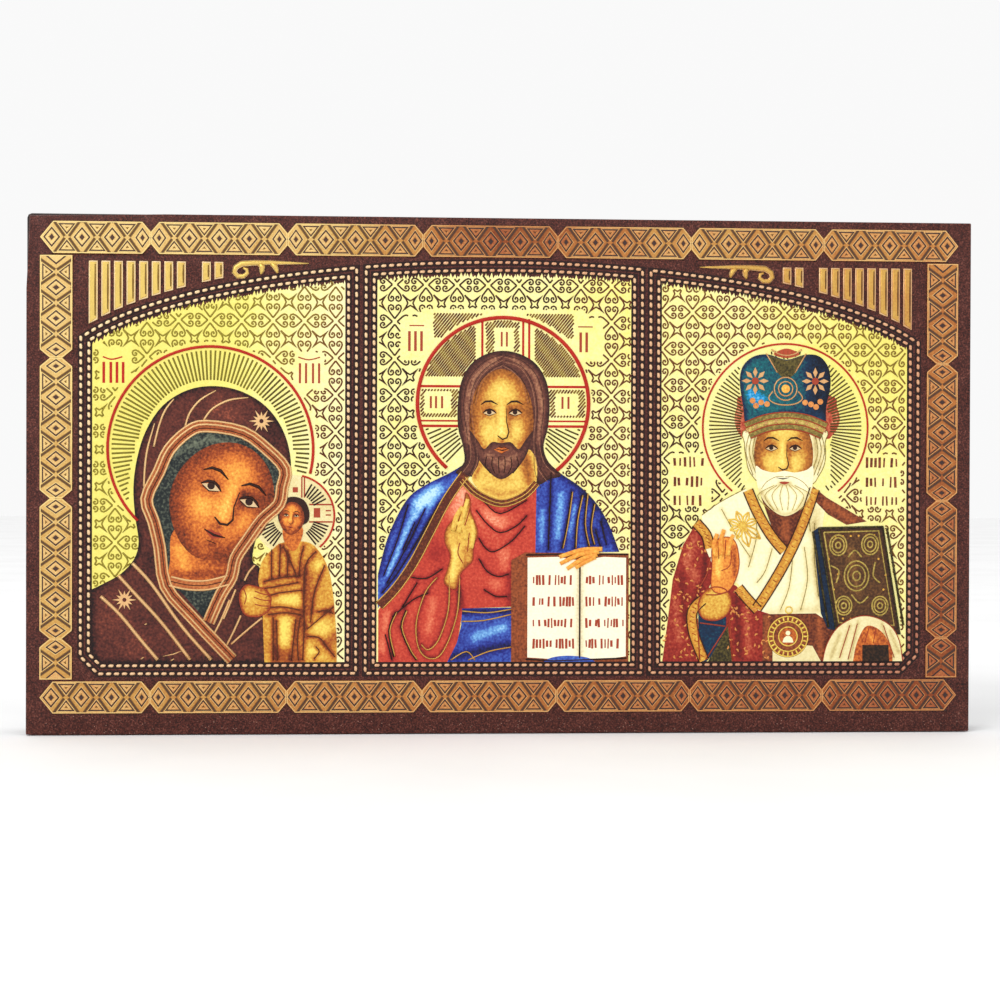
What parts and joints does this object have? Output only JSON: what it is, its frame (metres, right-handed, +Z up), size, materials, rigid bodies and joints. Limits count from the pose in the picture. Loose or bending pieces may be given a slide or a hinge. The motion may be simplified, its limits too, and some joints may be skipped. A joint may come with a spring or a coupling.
{
  "type": "three-picture icon board",
  "caption": "Small flat wooden icon board faced with a gold-stamped printed sheet: three half-length figures under one low arch, inside a diamond-pattern border.",
  "frame": {"origin": "centre of the bottom edge, at the middle of the depth", "axes": "+X along the long side to the viewer's right, +Y from the picture side to the back, +Z up"},
  "size_m": [0.11, 0.008, 0.06],
  "materials": {
    "board": "wood-fibre board, painted dark brown, satin",
    "stamped_sheet": "dark red-brown film with gold foil stamping and colour print"
  },
  "bodies": {
    "root": {"board": "board", "stamped_sheet": "stamped_sheet"}
  },
  "joints": []
}
